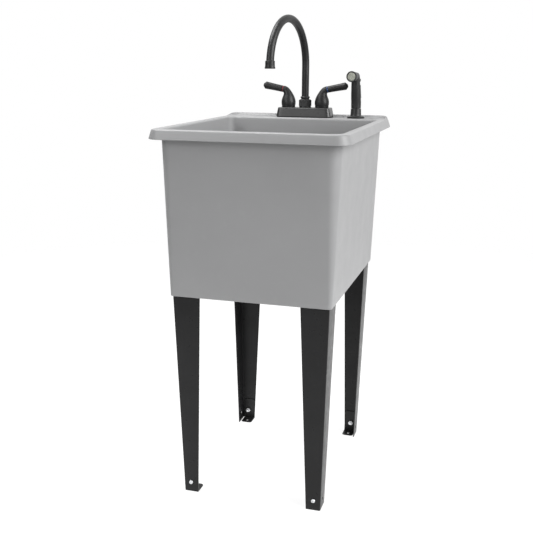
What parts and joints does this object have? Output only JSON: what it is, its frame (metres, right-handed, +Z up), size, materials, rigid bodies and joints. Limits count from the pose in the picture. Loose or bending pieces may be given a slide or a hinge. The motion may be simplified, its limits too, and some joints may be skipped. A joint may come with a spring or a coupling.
{
  "type": "utility laundry sink",
  "caption": "Freestanding moulded laundry tub on tapered angle legs, with a two-lever gooseneck tap and a side spray on its rear deck.",
  "frame": {"origin": "on the floor, under the centre of the tub", "axes": "+Z up; -Y towards the user, who faces the tap; +X to the user's right"},
  "size_m": [0.4426, 0.5616, 1.1077],
  "materials": {
    "tub_plastic": "light grey moulded polypropylene, satin",
    "black_steel": "black powder coat, fine grain",
    "zinc_steel": "bright zinc plate",
    "black_metal": "matt black coating, slightly satin",
    "black_plastic": "matt black moulding",
    "rubber": "matt",
    "brass": "plain cast and turned",
    "stainless": "satin",
    "white_plastic": "plain moulding",
    "spray_face_plastic": "pale grey, soft",
    "red_ring": "red index ring",
    "blue_ring": "blue index ring"
  },
  "bodies": {
    "sink": {"tub": "tub_plastic", "leg_front_left": "black_steel", "foot_bracket_front_left": "black_steel", "foot_bolt_front_left": "zinc_steel", "foot_nut_front_left": "zinc_steel", "leg_front_right": "black_steel", "foot_bracket_front_right": "black_steel", "foot_bolt_front_right": "zinc_steel", "foot_nut_front_right": "zinc_steel", "leg_rear_left": "black_steel", "foot_bracket_rear_left": "black_steel", "foot_bolt_rear_left": "zinc_steel", "foot_nut_rear_left": "zinc_steel", "leg_rear_right": "black_steel", "foot_bracket_rear_right": "black_steel", "foot_bolt_rear_right": "zinc_steel", "foot_nut_rear_right": "zinc_steel", "drain_body": "stainless", "drain_gasket": "rubber", "tailpiece_washer": "rubber", "tap_gasket": "rubber", "sprayer_holder_gasket": "rubber", "drain_locknut": "white_plastic", "tailpiece": "white_plastic", "tailpiece_nut": "white_plastic", "tap_mounting_nut_hot": "white_plastic", "tap_mounting_nut_cold": "white_plastic", "hot_cartridge": "white_plastic", "cold_cartridge": "white_plastic", "sprayer_holder_nut": "white_plastic", "tap_cover": "black_plastic", "sprayer_holder": "black_plastic", "tap_waterway": "brass", "hot_bonnet_nut": "brass", "cold_bonnet_nut": "brass", "spout_nut": "black_metal"},
    "hot_tap_handle": {"hot_handle": "black_metal", "hot_index_ring": "red_ring", "hot_lever": "black_metal", "hot_set_screw": "stainless", "hot_stem": "brass"},
    "cold_tap_handle": {"cold_handle": "black_metal", "cold_index_ring": "blue_ring", "cold_lever": "black_metal", "cold_set_screw": "stainless", "cold_stem": "brass"},
    "swivel_spout": {"spout": "black_metal", "spout_o_ring": "rubber", "spout_collar": "black_metal", "aerator_housing": "black_metal", "aerator_screen": "white_plastic"},
    "strainer": {"drain_strainer": "stainless"},
    "spray_handset": {"sprayer_body": "black_plastic", "sprayer_face_ring": "black_plastic", "sprayer_face": "spray_face_plastic", "sprayer_trigger_pin": "stainless", "sprayer_hose_nipple": "brass"},
    "spray_trigger": {"sprayer_trigger": "black_plastic"},
    "spray_plunger": {"sprayer_valve_plunger": "brass"}
  },
  "joints": [
    {"name": "hot_handle_turn", "type": "hinge", "parent": "sink", "child": "hot_tap_handle", "pos_m": [-0.0445, 0.2365, 0.9], "axis": [0, 0, 1], "range_deg": [0, 90]},
    {"name": "cold_handle_turn", "type": "hinge", "parent": "sink", "child": "cold_tap_handle", "pos_m": [0.0445, 0.2365, 0.9], "axis": [0, 0, -1], "range_deg": [0, 90]},
    {"name": "spout_swivel", "type": "hinge", "parent": "sink", "child": "swivel_spout", "pos_m": [0, 0.2365, 0.9], "axis": [0, 0, 1], "continuous": true},
    {"name": "strainer_lift", "type": "slide", "parent": "sink", "child": "strainer", "axis": [0, 0, 1], "range_m": [0, 0.06]},
    {"name": "handset_lift", "type": "slide", "parent": "sink", "child": "spray_handset", "axis": [0, 0, 1], "range_m": [0, 0.1]},
    {"name": "trigger_squeeze", "type": "hinge", "parent": "spray_handset", "child": "spray_trigger", "pos_m": [0.13469, 0.24175, 0.952], "axis": [-0.9914, 0.1305, 0], "range_deg": [0, 7], "stiffness_Nm_per_rad": 0.3},
    {"name": "plunger_press", "type": "slide", "parent": "spray_handset", "child": "spray_plunger", "axis": [-0.1305, -0.9914, 0], "range_m": [0, 0.0028]}
  ],
  "couplings": [
    {"joint": "plunger_press", "follows": "trigger_squeeze", "m_per_rad": 0.022}
  ]
}
